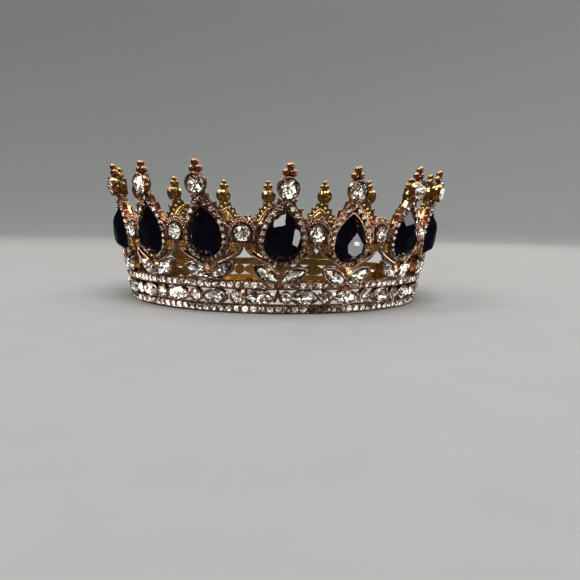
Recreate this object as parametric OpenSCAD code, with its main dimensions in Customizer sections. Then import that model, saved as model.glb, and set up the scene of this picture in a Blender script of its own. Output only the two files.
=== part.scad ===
// Round rhinestone crown with sixteen points.
// Each point carries a dark pear stone in a halo, a clear round stone above it and a trefoil of balls.
// Everything stands on one cone, so each setting is drawn flat and then laid on that cone's wall.

/* [Crown] */
// Number of points round the crown
point_count = 16; // [12:4:16]
// Radius of the front face of the wall where it meets the table
base_radius = 61.9; // [60:0.1:66]
// How far the wall leans outward from upright, in degrees
wall_lean = 10.9; // [8:0.1:13]
// How much of the hand-bent unevenness of the points is kept
unevenness = 1; // [0:0.1:1]

/* [Rails] */
// Height of each of the two stone channels
rail_height = 3.4; // [3:0.1:3.6]
// Thickness of the rails from front to back
rail_depth = 2.0; // [1.6:0.1:2.4]
// Clear height between the two rails
band_opening = 5.5; // [5.2:0.1:5.6]
// Width of the groove that holds the small stones
groove_width = 2.3; // [2:0.1:2.6]
// Depth of that groove
groove_depth = 0.5; // [0.3:0.1:0.7]

/* [Band stones] */
// Navette and round settings in the band, each
band_count = 24; // [24:8:24]
// Length of a band navette
band_navette_length = 10.4; // [10:0.1:10.4]
// Width of a band navette
band_navette_width = 4.8; // [4.6:0.1:4.8]
// Diameter of a band round
band_round_diameter = 4.3; // [4:0.1:4.4]

/* [Pear points] */
// Width of a pear stone
pear_width = 13; // [12:0.1:13.2]
// Height of a pear stone from its round end to its tip
pear_length = 18; // [17:0.1:18]
// Height of a pear stone's table over its girdle
pear_crown = 3.7; // [3:0.1:4]
// Height of the middle of a pear's round end up the wall
pear_level = 27.5; // [27:0.1:28]
// Width of the ring that holds the small stones round a pear
halo_width = 2.1; // [1.8:0.1:2.2]
// How much further than a pear's tip the halo reaches
halo_peak = 4.6; // [4:0.1:5]

/* [Top stones] */
// Diameter of a top stone
top_diameter = 7.0; // [6.6:0.1:7.2]
// Height of a top stone's middle up the wall
top_level = 47.4; // [47:0.1:47.6]
// Diameter of each ball of the trefoil
trefoil_ball = 2.8; // [2.4:0.1:3]

/* [Leaves] */
// Length of a leaf navette
leaf_length = 10.2; // [9.6:0.1:10.2]
// Width of a leaf navette
leaf_width = 4.8; // [4.2:0.1:4.8]
// Rise of each leaf from level, in degrees
leaf_rise = 31; // [29:1:33]

/* [Between the points] */
// Diameter of the round stone between two points
between_diameter = 5.8; // [5.2:0.1:5.8]
// Height of that stone's middle up the wall
between_level = 30; // [29.5:0.1:30.5]

/* [Settings] */
// Thickness of a cup's rim beside its stone
rim = 0.4; // [0.4:0.05:0.5]
// Clearance between a stone and its cup
clearance = 0.14; // [0.12:0.01:0.16]

/* [Hidden] */
$fn = 48;
step_angle = 360 / point_count;
band_step = 360 / band_count;
band_phase = -6.4;
rail_level = rail_height + band_opening;
band_level = rail_height + band_opening / 2;
wall_top = rail_level + rail_height;

// How the points were bent by hand: sway to the right and tip outward, in degrees.
// Two of them were also soldered a little lower than the rest.
sways = [4.4, -0.8, 3.4, 0.2, -0.8, -2.2, 0.2, -2.8, 3.2, -2.6, 0.8, -1.2, 0.4, 0.2, -1, -4.8];
tips = [0.6, 0.4, 0.8, 0, -2.8, 0.4, 0.4, -0.8, 0.4, 2, 0.2, -1, -4.4, -1, -0.8, -2];
drops = [1.1, 1.6, 0, 0, 0, 0, 0, 0, 0, 0, 0, 0, 0, 0, 0, 0];
bend_level = 15;

// Each cut stone: its table as a share of its outline, crown height, half its girdle, depth of its point.
top_cut = [0.55, 1.4, 0.15, 1.9];
between_cut = [0.55, 1.2, 0.15, 1.7];
leaf_cut = [0.6, 1.0, 0.15, 1.4];
band_navette_cut = [0.6, 1.1, 0.15, 1.5];
band_round_cut = [0.55, 1.0, 0.15, 1.5];
kite_share = 0.5;
kite_bulge = 0.06;

// The pear's facets, as a cutter lists them for its right half: the turn from the right hand side,
// the slope, and how far outside the outline the facet would meet the girdle's level.
pear_stars = [[36, 29, 2.1], [-7, 34, 2], [-60, 33, 2.1]];
pear_mains = [[51, 45, -0.2], [17.5, 43, 0.5], [-32, 47, 0.2], [-90, 49, 0]];
pear_halves = [for (turn = [34, 4, -16, -47, -75]) [turn, 55, 0.14]];
pear_back_turns = [51, 20, -12, -38, -64, -90];
pear_girdle_half = 0.2;
pear_depth = 2.4;

// How finely outlines are drawn: a pear's steps in its half circle and in each side, the steps
// in each of a navette's two arcs, and the points of a ring.
pear_stone_steps = [8, 4];
pear_cup_steps = [10, 6];
groove_steps = [8, 6];
halo_steps = [8, 11];
navette_steps = 6;
round_points = 12;
top_points = 16;

// Depths are measured out of the wall's face: below zero is behind it.
pear_girdle = 0.4;
top_girdle = 2;
between_girdle = 1.1;
low_girdle = 0.3;
plate_back = -1.5;
plate_front = -0.2;
cup_back = -1.7;
cup_front = 0.35;
pear_cup_back = -2.9;
pear_cup_front = 0.5;
between_cup_back = -2.1;
lip = 0.25;
floor_gap = 0.25;
pocket_above = 3;
overcut = 1;

// A pointed outline that is spread reaches further at its points than at its sides.
pear_tip_reach = 1.6;
navette_tip_reach = 1.25;
cup_spread = rim + clearance;

pear_radius = pear_width / 2;
pear_rise = pear_length - pear_radius;
pear_size = [pear_radius, pear_rise];
halo_size = [pear_radius + halo_width, pear_rise + halo_peak];
halo_bottom = pear_level - halo_size[0];
halo_top = pear_level + halo_size[1];
tooth = 0.9;
halo_rim = 0.55;
halo_front = 0.15;
halo_groove = 0.45;
halo_chin = [1.3, 1.5];
neck_width = 3.4;
neck_depth = 1.8;
neck_sinks = [3, 2];

top_cup_radius = top_diameter / 2 + cup_spread;
top_cup_dome = [[0, -2.2], [1.3, -2.0], [2.6, -1.3], [3.6, -0.1]];
top_cup_shoulder = 1;
top_rib = [0.7, 6.8, 2.4];
top_rib_back = -2.5;

// The trefoil, in shares of a ball's radius: how far the pair stands off the cup's rim, how far
// each is to the side, how much higher the third is, and the web inside that joins them.
pair_height = 0.75;
pair_spread = 0.85;
third_height = 1.55;
web_span = [-1.6, 0.8];
trefoil_web = [1, 1.2];
between_cup_radius = between_diameter / 2 + cup_spread;
round_cup_radius = band_round_diameter / 2 + cup_spread;
arch_radius = between_cup_radius + 1.8;
arch_steps = 24;
bead_radius = 1;
bead_span = [-0.4, 1];
leaf_foot = 13.2;
leaf_gap = 0.46;
foot_widths = [1.6, 0.9];
foot_sink = 1;
foot_shoulder = 1.1;
foot_front = 0.1;
link_reach = 3;
link_size = [0.8, 0.9];
link_back = -1.6;

// The first band round was squeezed aside where the strips meet.
squeezed_round = 0;
squeeze_turn = 1.45;
squeezed_scale = 0.84;
seam_angle = -10.8;
seam_bar = [0.8, 1.7];
seam_tab = [2.6, 1.3, 1.5];
seam_sink = 0.5;
arrow_offset = -0.3;
arrow_outline = [[-1.7, -1.5], [-0.9, -1.9], [0, 0.2], [0.9, -1.9], [1.7, -1.5], [0.3, 3], [-0.3, 3]];
arrow_front = 0.2;

// The scroll under a between stone, in the right half of its plate: one wire below, one beside the stone.
under_wire = [[-0.75, 27.4], [-0.2, 22.5], [-4, 21.5], [-10.7, 18.3]];
side_wire = [[-4, 27.4], [-3.7, 29.8], [-4.6, 32], [-6.6, 33.6]];
wire_width = 0.75;
wire_back = -1.3;
wire_front = 0.55;
wire_steps = 5;
scroll_back = -1.4;
scroll_front = -0.35;
scroll_root = [[0.2, 30], [0.2, 26.4]];
scroll_side = [[-9, 20.6], [-6.3, 24], [-5.8, 28]];
scroll_crest = [[-4.4, 34], [0.2, 34.4]];
scroll_window = [[-9.4, 19.6], [-6.9, 20.8], [-4.9, 22.3], [-5.2, 24]];
scroll_boss = [-2.9, 24.7];
scroll_boss_radius = 2;
scroll_boss_front = 0.45;

function two_digits(k) = k < 10 ? str("0", k) : str(k);
function wall_radius(height) = base_radius + height * tan(wall_lean);

// Outlines

// A navette: two arcs that meet in points at its left and right ends.
function navette(length, width, steps) =
    let (
        arc_radius = (length * length + width * width) / (4 * width),
        arc_drop = arc_radius - width / 2,
        reach = asin(length / 2 / arc_radius)
    )
    concat(
        [for (i = [0 : steps - 1]) let (a = -reach + 2 * reach * i / steps)
            [arc_radius * sin(a), arc_drop - arc_radius * cos(a)]],
        [for (i = [0 : steps - 1]) let (a = reach - 2 * reach * i / steps)
            [arc_radius * sin(a), arc_radius * cos(a) - arc_drop]]
    );

// A pear of a given radius and rise: a half circle below, and two arcs above that meet in a point.
function pear(size, steps) =
    let (
        radius = size[0],
        low = steps[0],
        high = steps[1],
        side_radius = side_arc_radius(size),
        reach = asin(size[1] / side_radius)
    )
    concat(
        [for (i = [0 : low - 1]) let (a = 180 + 180 * i / low)
            [radius * cos(a), radius * sin(a)]],
        [for (i = [0 : high - 1]) let (a = reach * i / high)
            [radius - side_radius + side_radius * cos(a), side_radius * sin(a)]],
        [for (i = [0 : high - 1]) let (a = reach - reach * i / high)
            [side_radius - radius - side_radius * cos(a), side_radius * sin(a)]]
    );

function side_arc_radius(size) = (size[0] * size[0] + size[1] * size[1]) / (2 * size[0]);

// The same outline, spread outward all round.
function wider_pear(size, by, steps) = pear([size[0] + by, size[1] + pear_tip_reach * by], steps);

function ring(radius, count) =
    [for (i = [0 : count - 1]) let (a = 360 * i / count) [radius * cos(a), radius * sin(a)]];

// The inner outline, but with each second point above the middle taken from the outer one.
function toothed(inner, outer) =
    [for (i = [0 : len(inner) - 1]) i % 2 == 1 && inner[i][1] > 0 ? outer[i] : inner[i]];

function bezier(p, t) =
    pow(1 - t, 3) * p[0] + 3 * pow(1 - t, 2) * t * p[1] + 3 * (1 - t) * t * t * p[2] + pow(t, 3) * p[3];
function curve(p) = [for (i = [0 : wire_steps]) bezier(p, i / wire_steps)];

// The unit vector across a curve at one of its points.
function across(path, i) =
    let (
        along = path[min(i + 1, len(path) - 1)] - path[max(i - 1, 0)]
    )
    [-along[1], along[0]] / norm(along);
function stroke(path, width) =
    concat(
        [for (i = [0 : len(path) - 1]) path[i] + across(path, i) * width / 2],
        [for (i = [len(path) - 1 : -1 : 0]) path[i] - across(path, i) * width / 2]
    );

// Places on the wall

// Lays a flat drawing on the wall: x runs round the crown, y up the wall and z out of it.
module on_wall(angle) {
    rotate([0, 0, angle])
        translate([0, -base_radius, 0])
            rotate([90 + wall_lean, 0, 0])
                children();
}

// The same at point k, with the bend that this point has.
module on_point(k) {
    on_wall(k * step_angle)
        translate([0, bend_level - unevenness * drops[k % len(drops)], 0])
            rotate([unevenness * tips[k % len(tips)], 0, -unevenness * sways[k % len(sways)]])
                translate([0, -bend_level, 0])
                    children();
}

module on_between(k) {
    on_wall((k + 0.5) * step_angle)
        children();
}

module at_leaf(side) {
    mirror([side < 0 ? 1 : 0, 0, 0])
        translate([leaf_gap, leaf_foot, 0])
            rotate([0, 0, leaf_rise])
                translate([leaf_length / 2, 0, 0])
                    children();
}

function round_turn(k) =
    band_phase + (k + 0.5) * band_step + (k == squeezed_round ? squeeze_turn : 0);
function round_scale(k) = k == squeezed_round ? squeezed_scale : 1;

// A navette in true arcs, spread outward all round.
module navette_area(stone_length, stone_width, by) {
    length = stone_length + 2 * navette_tip_reach * by;
    width = stone_width + 2 * by;
    arc_radius = (length * length + width * width) / (4 * width);
    intersection_for (side = [-1, 1])
        translate([0, side * (arc_radius - width / 2)])
            circle(r = arc_radius, $fn = 120);
}

// A plate between two depths of the wall
module plate(points, back, front) {
    translate([0, 0, back])
        linear_extrude(height = front - back)
            polygon(points);
}

// Stones

// A stone cut with a table, stars, kites and half facets over its girdle, and a point below.
// The outline has two points for each kite and runs anticlockwise.
module cut_stone(outline, cut) {
    table = cut[0];
    crown = cut[1];
    girdle = cut[2];
    depth = cut[3];
    kites = len(outline) / 2;
    kite_spread = (1 + table) / 2 + kite_bulge;
    kite_level = girdle + (crown - girdle) * kite_share;
    points = concat(
        [for (i = [0 : kites - 1]) let (p = outline[2 * i] * table) [p[0], p[1], crown]],
        [for (i = [0 : kites - 1]) let (p = outline[2 * i + 1] * kite_spread) [p[0], p[1], kite_level]],
        [for (p = outline) [p[0], p[1], girdle]],
        [for (p = outline) [p[0], p[1], -girdle]],
        [[0, 0, -depth]]
    );
    edge = 2 * kites;
    lower = edge + len(outline);
    bottom = lower + len(outline);
    last = len(outline) - 1;
    faces = concat(
        [[for (i = [kites - 1 : -1 : 0]) i]],
        [for (i = [0 : kites - 1]) [i, (i + 1) % kites, kites + i]],
        [for (i = [0 : kites - 1]) [i, kites + i, edge + 2 * i]],
        [for (i = [0 : kites - 1]) [i, edge + 2 * i, kites + (i + kites - 1) % kites]],
        [for (i = [0 : kites - 1]) [kites + i, edge + 2 * i + 1, edge + 2 * i]],
        [for (i = [0 : kites - 1]) [kites + i, edge + (2 * i + 2) % len(outline), edge + 2 * i + 1]],
        [for (j = [0 : last]) let (n = (j + 1) % len(outline)) [edge + j, edge + n, lower + n]],
        [for (j = [0 : last]) let (n = (j + 1) % len(outline)) [edge + j, lower + n, lower + j]],
        [for (j = [0 : last]) let (n = (j + 1) % len(outline)) [lower + j, lower + n, bottom]]
    );
    polyhedron(points = points, faces = faces);
}

// How far the pear's outline reaches in a direction, for turns from -90 up to the tip's own.
function pear_reach(turn) =
    let (side_radius = side_arc_radius(pear_size))
    turn < 0 ? pear_radius : side_radius - (side_radius - pear_radius) * cos(turn);

// What one facet cuts away: all that lies outside its plane. The plane meets level zero at the reach.
module facet(turn, slope, reach) {
    rotate([0, 0, turn])
        translate([reach, 0, 0])
            rotate([0, slope - 90, 0])
                translate([0, -pear_length, -pear_length])
                    cube([pear_length, 2 * pear_length, 2 * pear_length]);
}

// The same facet on the pear's right and left side
module facet_pair(turn, slope, reach) {
    facet(turn, slope, reach);
    if (turn > -90)
        facet(180 - turn, slope, reach);
}

// A thick block with the pear's outline, cut with 23 facets round its table and 11 behind.
module pear_stone() {
    translate([0, pear_level, pear_girdle])
        difference() {
            translate([0, 0, -pear_depth])
                linear_extrude(height = pear_depth + pear_crown)
                    polygon(pear(pear_size, pear_stone_steps));
            for (cut = concat(pear_stars, pear_mains, pear_halves))
                facet_pair(cut[0], cut[1], pear_reach(cut[0]) + cut[2]);
            for (turn = pear_back_turns) {
                slope = atan((pear_depth - pear_girdle_half) / pear_reach(turn));
                mirror([0, 0, 1])
                    facet_pair(turn, slope, pear_depth / tan(slope));
            }
        }
}

module top_stone() {
    translate([0, top_level, top_girdle])
        cut_stone(ring(top_diameter / 2, top_points), top_cut);
}

module between_stone() {
    translate([0, between_level, between_girdle])
        cut_stone(ring(between_diameter / 2, round_points), between_cut);
}

module leaf_stone() {
    translate([0, 0, low_girdle])
        cut_stone(navette(leaf_length, leaf_width, navette_steps), leaf_cut);
}

module band_navette() {
    translate([0, band_level, low_girdle])
        cut_stone(navette(band_navette_length, band_navette_width, navette_steps), band_navette_cut);
}

module band_round() {
    translate([0, band_level, low_girdle])
        cut_stone(ring(band_round_diameter / 2, round_points), band_round_cut);
}

// Metal

// One stone channel: level at its top and bottom, with a groove along its leaning face.
module rail(level) {
    groove_low = level + (rail_height - groove_width) / 2;
    groove_high = groove_low + groove_width;
    top = level + rail_height;
    rotate_extrude()
        polygon([
            [wall_radius(level) - rail_depth, level],
            [wall_radius(level), level],
            [wall_radius(groove_low), groove_low],
            [wall_radius(groove_low) - groove_depth, groove_low],
            [wall_radius(groove_high) - groove_depth, groove_high],
            [wall_radius(groove_high), groove_high],
            [wall_radius(top), top],
            [wall_radius(top) - rail_depth, top]
        ]);
}

// Band cup for a navette, with the link that joins it to the rounds on either side.
module navette_cup() {
    length = band_navette_length + 2 * navette_tip_reach * cup_spread;
    translate([0, band_level, 0])
        plate(navette(length, band_navette_width + 2 * cup_spread, navette_steps), cup_back, cup_front);
    translate([-band_navette_length / 2 - link_reach, band_level - link_size[0] / 2, link_back])
        cube([band_navette_length + 2 * link_reach, link_size[0], link_size[1]]);
}

module round_cup(size) {
    translate([0, band_level, cup_back])
        cylinder(r = round_cup_radius * size, h = cup_front - cup_back);
}

// The strips of the crown were joined here: a bar across the band and a tab on the rail.
module seam() {
    translate([-seam_bar[0] / 2, rail_height - seam_sink, link_back])
        cube([seam_bar[0], band_opening + 2 * seam_sink, seam_bar[1]]);
    translate([0, wall_top - seam_sink, cup_back])
        cube(seam_tab);
}

// An arrow head that was left beside the squeezed round.
module arrow_head() {
    translate([arrow_offset, band_level, 0])
        plate(arrow_outline, plate_back, arrow_front);
}

module leaf_cup() {
    translate([0, 0, cup_back])
        linear_extrude(height = cup_front - cup_back)
            navette_area(leaf_length, leaf_width, cup_spread);
}

// Foot of the V, from the upper rail up between the two leaves
module leaf_foot_metal() {
    root = wall_top - foot_sink;
    shoulder = leaf_foot + foot_shoulder;
    plate([
        [-foot_widths[0], root], [foot_widths[0], root], [foot_widths[1], shoulder],
        [0, shoulder + foot_widths[1]], [-foot_widths[1], shoulder]
    ], plate_back, foot_front);
}

// Toothed plate with the groove for a pear's ring of small stones, between its edge and the pear's cup
module halo() {
    translate([0, pear_level, 0]) {
        difference() {
            plate(toothed(pear(halo_size, halo_steps), wider_pear(halo_size, tooth, halo_steps)),
                plate_back, halo_front);
            plate(wider_pear(halo_size, -halo_rim, groove_steps),
                halo_front - halo_groove, halo_front + overcut);
        }
        plate(wider_pear(pear_size, cup_spread, pear_cup_steps), pear_cup_back, pear_cup_front);
    }
    translate([0, halo_bottom, 0])
        plate([[-halo_chin[0], halo_rim], [0, -halo_chin[1]], [halo_chin[0], halo_rim]],
            plate_back, halo_front);
}

// Closed cup behind the top stone, with the upright rib on its back.
module top_cup() {
    translate([0, top_level, 0])
        rotate_extrude()
            polygon(concat(top_cup_dome, [
                [top_cup_radius, top_cup_shoulder], [top_cup_radius, top_girdle + lip], [0, top_girdle + lip]
            ]));
    translate([-top_rib[0] / 2, top_level - top_rib[1] / 2, top_rib_back])
        cube(top_rib);
}

module neck() {
    foot = halo_top - neck_sinks[0];
    head = top_level - neck_sinks[1];
    translate([-neck_width / 2, foot, plate_back])
        cube([neck_width, head - foot, neck_depth]);
}

// Three balls: two side by side on the cup's rim and one on top of them.
module trefoil() {
    ball = trefoil_ball / 2;
    pair_level = top_level + top_cup_radius + pair_height * ball;
    for (side = [-1, 1])
        translate([side * pair_spread * ball, pair_level, 0])
            sphere(r = ball);
    translate([0, pair_level + third_height * ball, 0])
        sphere(r = ball);
    translate([-trefoil_web[0] / 2, pair_level + web_span[0] * ball, -trefoil_web[1] / 2])
        cube([trefoil_web[0], (web_span[1] - web_span[0]) * ball, trefoil_web[1]]);
}

module between_cup() {
    translate([0, between_level, between_cup_back])
        cylinder(r = between_cup_radius, h = between_girdle + lip - between_cup_back);
    translate([0, between_level, 0])
        plate(toothed(ring(arch_radius, arch_steps), ring(arch_radius + tooth, arch_steps)),
            plate_back, plate_front);
    translate([0, between_level - between_cup_radius, bead_span[0]])
        cylinder(r = bead_radius, h = bead_span[1] - bead_span[0]);
}

// One scroll: a backing, its two raised wires and the boss of grains that they curl round.
module scroll() {
    under = curve(under_wire);
    side = curve(side_wire);
    difference() {
        plate(concat(scroll_root, under, scroll_side, [side[wire_steps]], scroll_crest),
            scroll_back, scroll_front);
        plate(scroll_window, scroll_back - overcut, scroll_front + overcut);
    }
    for (wire = [under, side])
        plate(stroke(wire, wire_width), wire_back, wire_front);
    translate([scroll_boss[0], scroll_boss[1], wire_back])
        cylinder(r = scroll_boss_radius, h = scroll_boss_front - wire_back);
}

// Hollows that the stones sit in

// A hollow with the given outline, from just under a stone's point to clear above it.
module pocket(girdle_level, stone_depth) {
    depth = stone_depth + floor_gap;
    translate([0, 0, girdle_level - depth])
        linear_extrude(height = depth + pocket_above)
            children();
}

module pockets() {
    for (k = [0 : point_count - 1]) {
        on_point(k) {
            translate([0, pear_level, 0])
                pocket(pear_girdle, pear_depth)
                    polygon(wider_pear(pear_size, clearance, pear_stone_steps));
            translate([0, top_level, 0])
                pocket(top_girdle, top_cut[3])
                    circle(r = top_diameter / 2 + clearance);
            for (side = [-1, 1])
                at_leaf(side)
                    pocket(low_girdle, leaf_cut[3])
                        navette_area(leaf_length, leaf_width, clearance);
        }
        on_between(k)
            translate([0, between_level, 0])
                pocket(between_girdle, between_cut[3])
                    circle(r = between_diameter / 2 + clearance);
    }
    for (k = [0 : band_count - 1]) {
        on_wall(band_phase + k * band_step)
            translate([0, band_level, 0])
                pocket(low_girdle, band_navette_cut[3])
                    navette_area(band_navette_length, band_navette_width, clearance);
        on_wall(round_turn(k))
            translate([0, band_level, 0])
                pocket(low_girdle, band_round_cut[3])
                    circle(r = band_round_diameter / 2 * round_scale(k) + clearance);
    }
}

module castings() {
    rail(0);
    rail(rail_level);
    for (k = [0 : band_count - 1]) {
        on_wall(band_phase + k * band_step)
            navette_cup();
        on_wall(round_turn(k))
            round_cup(round_scale(k));
    }
    on_wall(seam_angle)
        seam();
    on_wall(0)
        arrow_head();
    for (k = [0 : point_count - 1]) {
        on_point(k) {
            halo();
            neck();
            top_cup();
            trefoil();
            leaf_foot_metal();
            for (side = [-1, 1])
                at_leaf(side)
                    leaf_cup();
        }
        on_between(k) {
            between_cup();
            for (side = [0, 1])
                mirror([side, 0, 0])
                    scroll();
        }
    }
}

// Nodes

module frame() {
    color("darkgoldenrod")
        difference() {
            castings();
            pockets();
        }
}

module pear_node(k) {
    color([0.12, 0.05, 0.2])
        on_point(k)
            pear_stone();
}

module top_stone_node(k) {
    color("lightgray")
        on_point(k)
            top_stone();
}

module between_stones() {
    color("lightgray")
        for (k = [0 : point_count - 1])
            on_between(k)
                between_stone();
}

module leaf_stones() {
    color("whitesmoke")
        for (k = [0 : point_count - 1])
            on_point(k)
                for (side = [-1, 1])
                    at_leaf(side)
                        leaf_stone();
}

module band_navettes() {
    color("whitesmoke")
        for (k = [0 : band_count - 1])
            on_wall(band_phase + k * band_step)
                band_navette();
}

module band_rounds() {
    color("lightgray")
        for (k = [0 : band_count - 1])
            on_wall(round_turn(k))
                translate([0, band_level, 0])
                    scale(round_scale(k))
                        translate([0, -band_level, 0])
                            band_round();
}

frame();
for (k = [1 : point_count]) {
    pear_node(k - 1);
    top_stone_node(k - 1);
}
between_stones();
leaf_stones();
band_navettes();
band_rounds();
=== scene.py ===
# %% [markdown]
# # A round rhinestone crown
# The crown is cast in rose gold alloy and set with glass stones.
# Its metal arrives ready made as exact solids, and this lesson dresses it:
# real cut stones with foil behind them, rows of tiny stones, beads, wires and aged gold,
# whose corners are darkened with painted shade.
# Everything is in metres, with the crown standing on z = 0 and its front point on -Y.

# %% Load the crown
import math
import random

import bmesh
import bpy
import numpy as np
from mathutils import Matrix, Vector


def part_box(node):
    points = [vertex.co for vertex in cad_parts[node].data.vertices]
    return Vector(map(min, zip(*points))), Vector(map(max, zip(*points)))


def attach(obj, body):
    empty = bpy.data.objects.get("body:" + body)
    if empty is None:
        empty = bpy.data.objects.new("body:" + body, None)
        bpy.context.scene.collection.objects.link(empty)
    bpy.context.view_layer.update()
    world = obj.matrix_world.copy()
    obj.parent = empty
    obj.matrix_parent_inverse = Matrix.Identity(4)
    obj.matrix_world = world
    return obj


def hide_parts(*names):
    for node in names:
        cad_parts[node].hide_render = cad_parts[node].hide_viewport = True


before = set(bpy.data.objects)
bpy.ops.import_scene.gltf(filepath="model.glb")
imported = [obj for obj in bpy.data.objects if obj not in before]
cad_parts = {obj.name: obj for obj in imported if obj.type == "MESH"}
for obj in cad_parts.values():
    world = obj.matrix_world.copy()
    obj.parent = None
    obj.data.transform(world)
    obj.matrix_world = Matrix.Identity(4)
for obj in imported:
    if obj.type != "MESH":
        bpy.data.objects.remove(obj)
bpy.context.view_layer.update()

# %% [markdown]
# ## Where things sit
# The crown widens upward like a cone. Each setting was drawn flat and laid on that cone,
# so every bead and stone is placed the same way: x runs round the crown,
# y runs up its wall and z comes out of the wall towards the viewer.
# One function could hold all of it, but three small ones keep the names of the real parts:
# the wall, the sixteen points that were bent a little by hand, and the places between them.

# %% The wall and its points
MM = 0.001
BASE_RADIUS = 61.9 * MM
WALL_LEAN = math.radians(10.9)
POINT_COUNT = 16
POINT_STEP = 360 / POINT_COUNT
BEND_LEVEL = 15 * MM
SWAYS = [4.4, -0.8, 3.4, 0.2, -0.8, -2.2, 0.2, -2.8, 3.2, -2.6, 0.8, -1.2, 0.4, 0.2, -1, -4.8]
TIPS = [0.6, 0.4, 0.8, 0, -2.8, 0.4, 0.4, -0.8, 0.4, 2, 0.2, -1, -4.4, -1, -0.8, -2]
DROPS = [1.1, 1.6] + [0] * 14


def on_wall(degrees):
    """The drawing plane laid on the wall at an angle round the crown."""
    turn = Matrix.Rotation(math.radians(degrees), 4, "Z")
    out = Matrix.Translation((0, -BASE_RADIUS, 0))
    return turn @ out @ Matrix.Rotation(math.radians(90) + WALL_LEAN, 4, "X")


def on_point(k):
    """The same at point k, with the bend that was given to it by hand."""
    down = Matrix.Translation((0, -BEND_LEVEL, 0))
    up = Matrix.Translation((0, BEND_LEVEL - DROPS[k] * MM, 0))
    sway = Matrix.Rotation(math.radians(-SWAYS[k]), 4, "Z")
    tip = Matrix.Rotation(math.radians(TIPS[k]), 4, "X")
    return on_wall(k * POINT_STEP) @ up @ sway @ tip @ down


def on_between(k):
    """The same halfway between point k and the next one."""
    return on_wall((k + 0.5) * POINT_STEP)


# %% Seats in the drawing planes
def spot(x, y, z, turn=0.0, size=1.0):
    """A place in a drawing plane, given in millimetres and degrees."""
    move = Matrix.Translation((x * MM, y * MM, z * MM))
    return move @ Matrix.Rotation(math.radians(turn), 4, "Z") @ Matrix.Scale(size, 4)


def on_every_point(seats):
    """The same seats at all the points. A seat starts with its x, y and z."""
    return [on_point(k) @ spot(*seat[:3]) for k in range(POINT_COUNT) for seat in seats]


def on_every_between(seats):
    return [on_between(k) @ spot(*seat[:3]) for k in range(POINT_COUNT) for seat in seats]


# %% [markdown]
# The front pear stone tells whether this agrees with the metal: the place that is drawn for it
# is the middle of its round end, a few millimetres below the middle of its box.

# %% Check the first pear against the drawing
PEAR_LEVEL = 27.5
pear_middle = on_point(0) @ Vector((0, PEAR_LEVEL * MM, 0))
low_corner, high_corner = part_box("pear_01")
box_middle = (low_corner + high_corner) / 2
print("pear 1 from its drawn place, mm:", round((box_middle - pear_middle).length * 1000, 2))

# %% [markdown]
# ## The camera
# The photograph was taken close, from the height of the pear stones and a touch from the left,
# looking a little down, with a lens of about 40 mm. The distance, height, turn and roll below
# put the crown's points within a few pixels of where the picture has them.

# %% Camera at the photograph's viewpoint
FOCAL_PIXELS = 655
IMAGE_PIXELS = 580
SENSOR = 36
NEAREST = 0.01
FARTHEST = 20
CAMERA_DISTANCE = 300 * MM
CAMERA_HEIGHT_ANGLE = math.radians(6.9)
CAMERA_TURN = math.radians(-1.59)
LOOK_RIGHT = math.radians(1.41)
LOOK_DOWN = math.radians(6.56)
ROLL = math.radians(1.03)


def photograph_camera():
    data = bpy.data.cameras.new("camera")
    data.sensor_width = SENSOR
    data.lens = FOCAL_PIXELS * SENSOR / IMAGE_PIXELS
    data.clip_start = NEAREST
    data.clip_end = FARTHEST
    camera = bpy.data.objects.new("camera", data)
    bpy.context.scene.collection.objects.link(camera)
    away = Vector((0, -math.cos(CAMERA_HEIGHT_ANGLE), math.sin(CAMERA_HEIGHT_ANGLE)))
    place = Matrix.Translation(away * CAMERA_DISTANCE)
    level = Matrix.Rotation(math.radians(90) - LOOK_DOWN, 4, "X")
    aim = Matrix.Rotation(-LOOK_RIGHT, 4, "Z") @ level @ Matrix.Rotation(ROLL, 4, "Z")
    camera.matrix_world = Matrix.Rotation(CAMERA_TURN, 4, "Z") @ place @ aim
    bpy.context.scene.camera = camera
    return camera


camera = photograph_camera()
print("lens in mm:", round(camera.data.lens, 1))

# %% [markdown]
# ## Building many small pieces
# A crown like this has thousands of stones and beads. Blender could place them with
# particle systems or Geometry Nodes. Here one small form is drawn once and its points are
# copied to every place in one mesh, which is quick and leaves an ordinary mesh behind.
# Each copy also gets a random number from 0 to 1 called tone, which the stones' finishes use,
# so that no two stones look quite the same.

# %% A stamp for repeated forms
chance = random.Random(16)


def mesh_object(name, points, faces, materials, smooth):
    mesh = bpy.data.meshes.new(name)
    mesh.from_pydata(points, [], faces)
    mesh.polygons.foreach_set("use_smooth", [smooth] * len(faces))
    for material in materials:
        mesh.materials.append(material)
    made = bpy.data.objects.new(name, mesh)
    bpy.context.scene.collection.objects.link(made)
    return made


def stamp(name, form, places, materials, smooth=False):
    """One mesh with a copy of the form at every place. A form is its points, faces and slots."""
    form_points, form_faces, form_slots = form
    drawn = np.array(form_points)
    points, faces, tones = [], [], []
    for place in places:
        first = len(points)
        matrix = np.array(place)
        points.extend((drawn @ matrix[:3, :3].T + matrix[:3, 3]).tolist())
        faces.extend([tuple(first + corner for corner in face) for face in form_faces])
        tones.extend([chance.random()] * len(drawn))
    piece = mesh_object(name, points, faces, materials, smooth)
    piece.data.polygons.foreach_set("material_index", list(form_slots) * len(places))
    piece.data.attributes.new("tone", "FLOAT", "POINT").data.foreach_set("value", tones)
    piece.data.update()
    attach(piece, "root")
    print(f"{name}: {len(places)} copies, {len(faces)} faces")
    return piece


# %% [markdown]
# ## Outlines of the stones
# Three outlines cover all the stones: a ring, a navette made of two arcs that meet in points,
# and a pear made of a half circle below and two arcs above. They could be traced as curves,
# but a width and a length are all that a cutter marks, so they are worked out from those.

# %% Ring, navette and pear
def ring(radius, count):
    return [(radius * math.cos(math.tau * i / count), radius * math.sin(math.tau * i / count))
            for i in range(count)]


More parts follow.
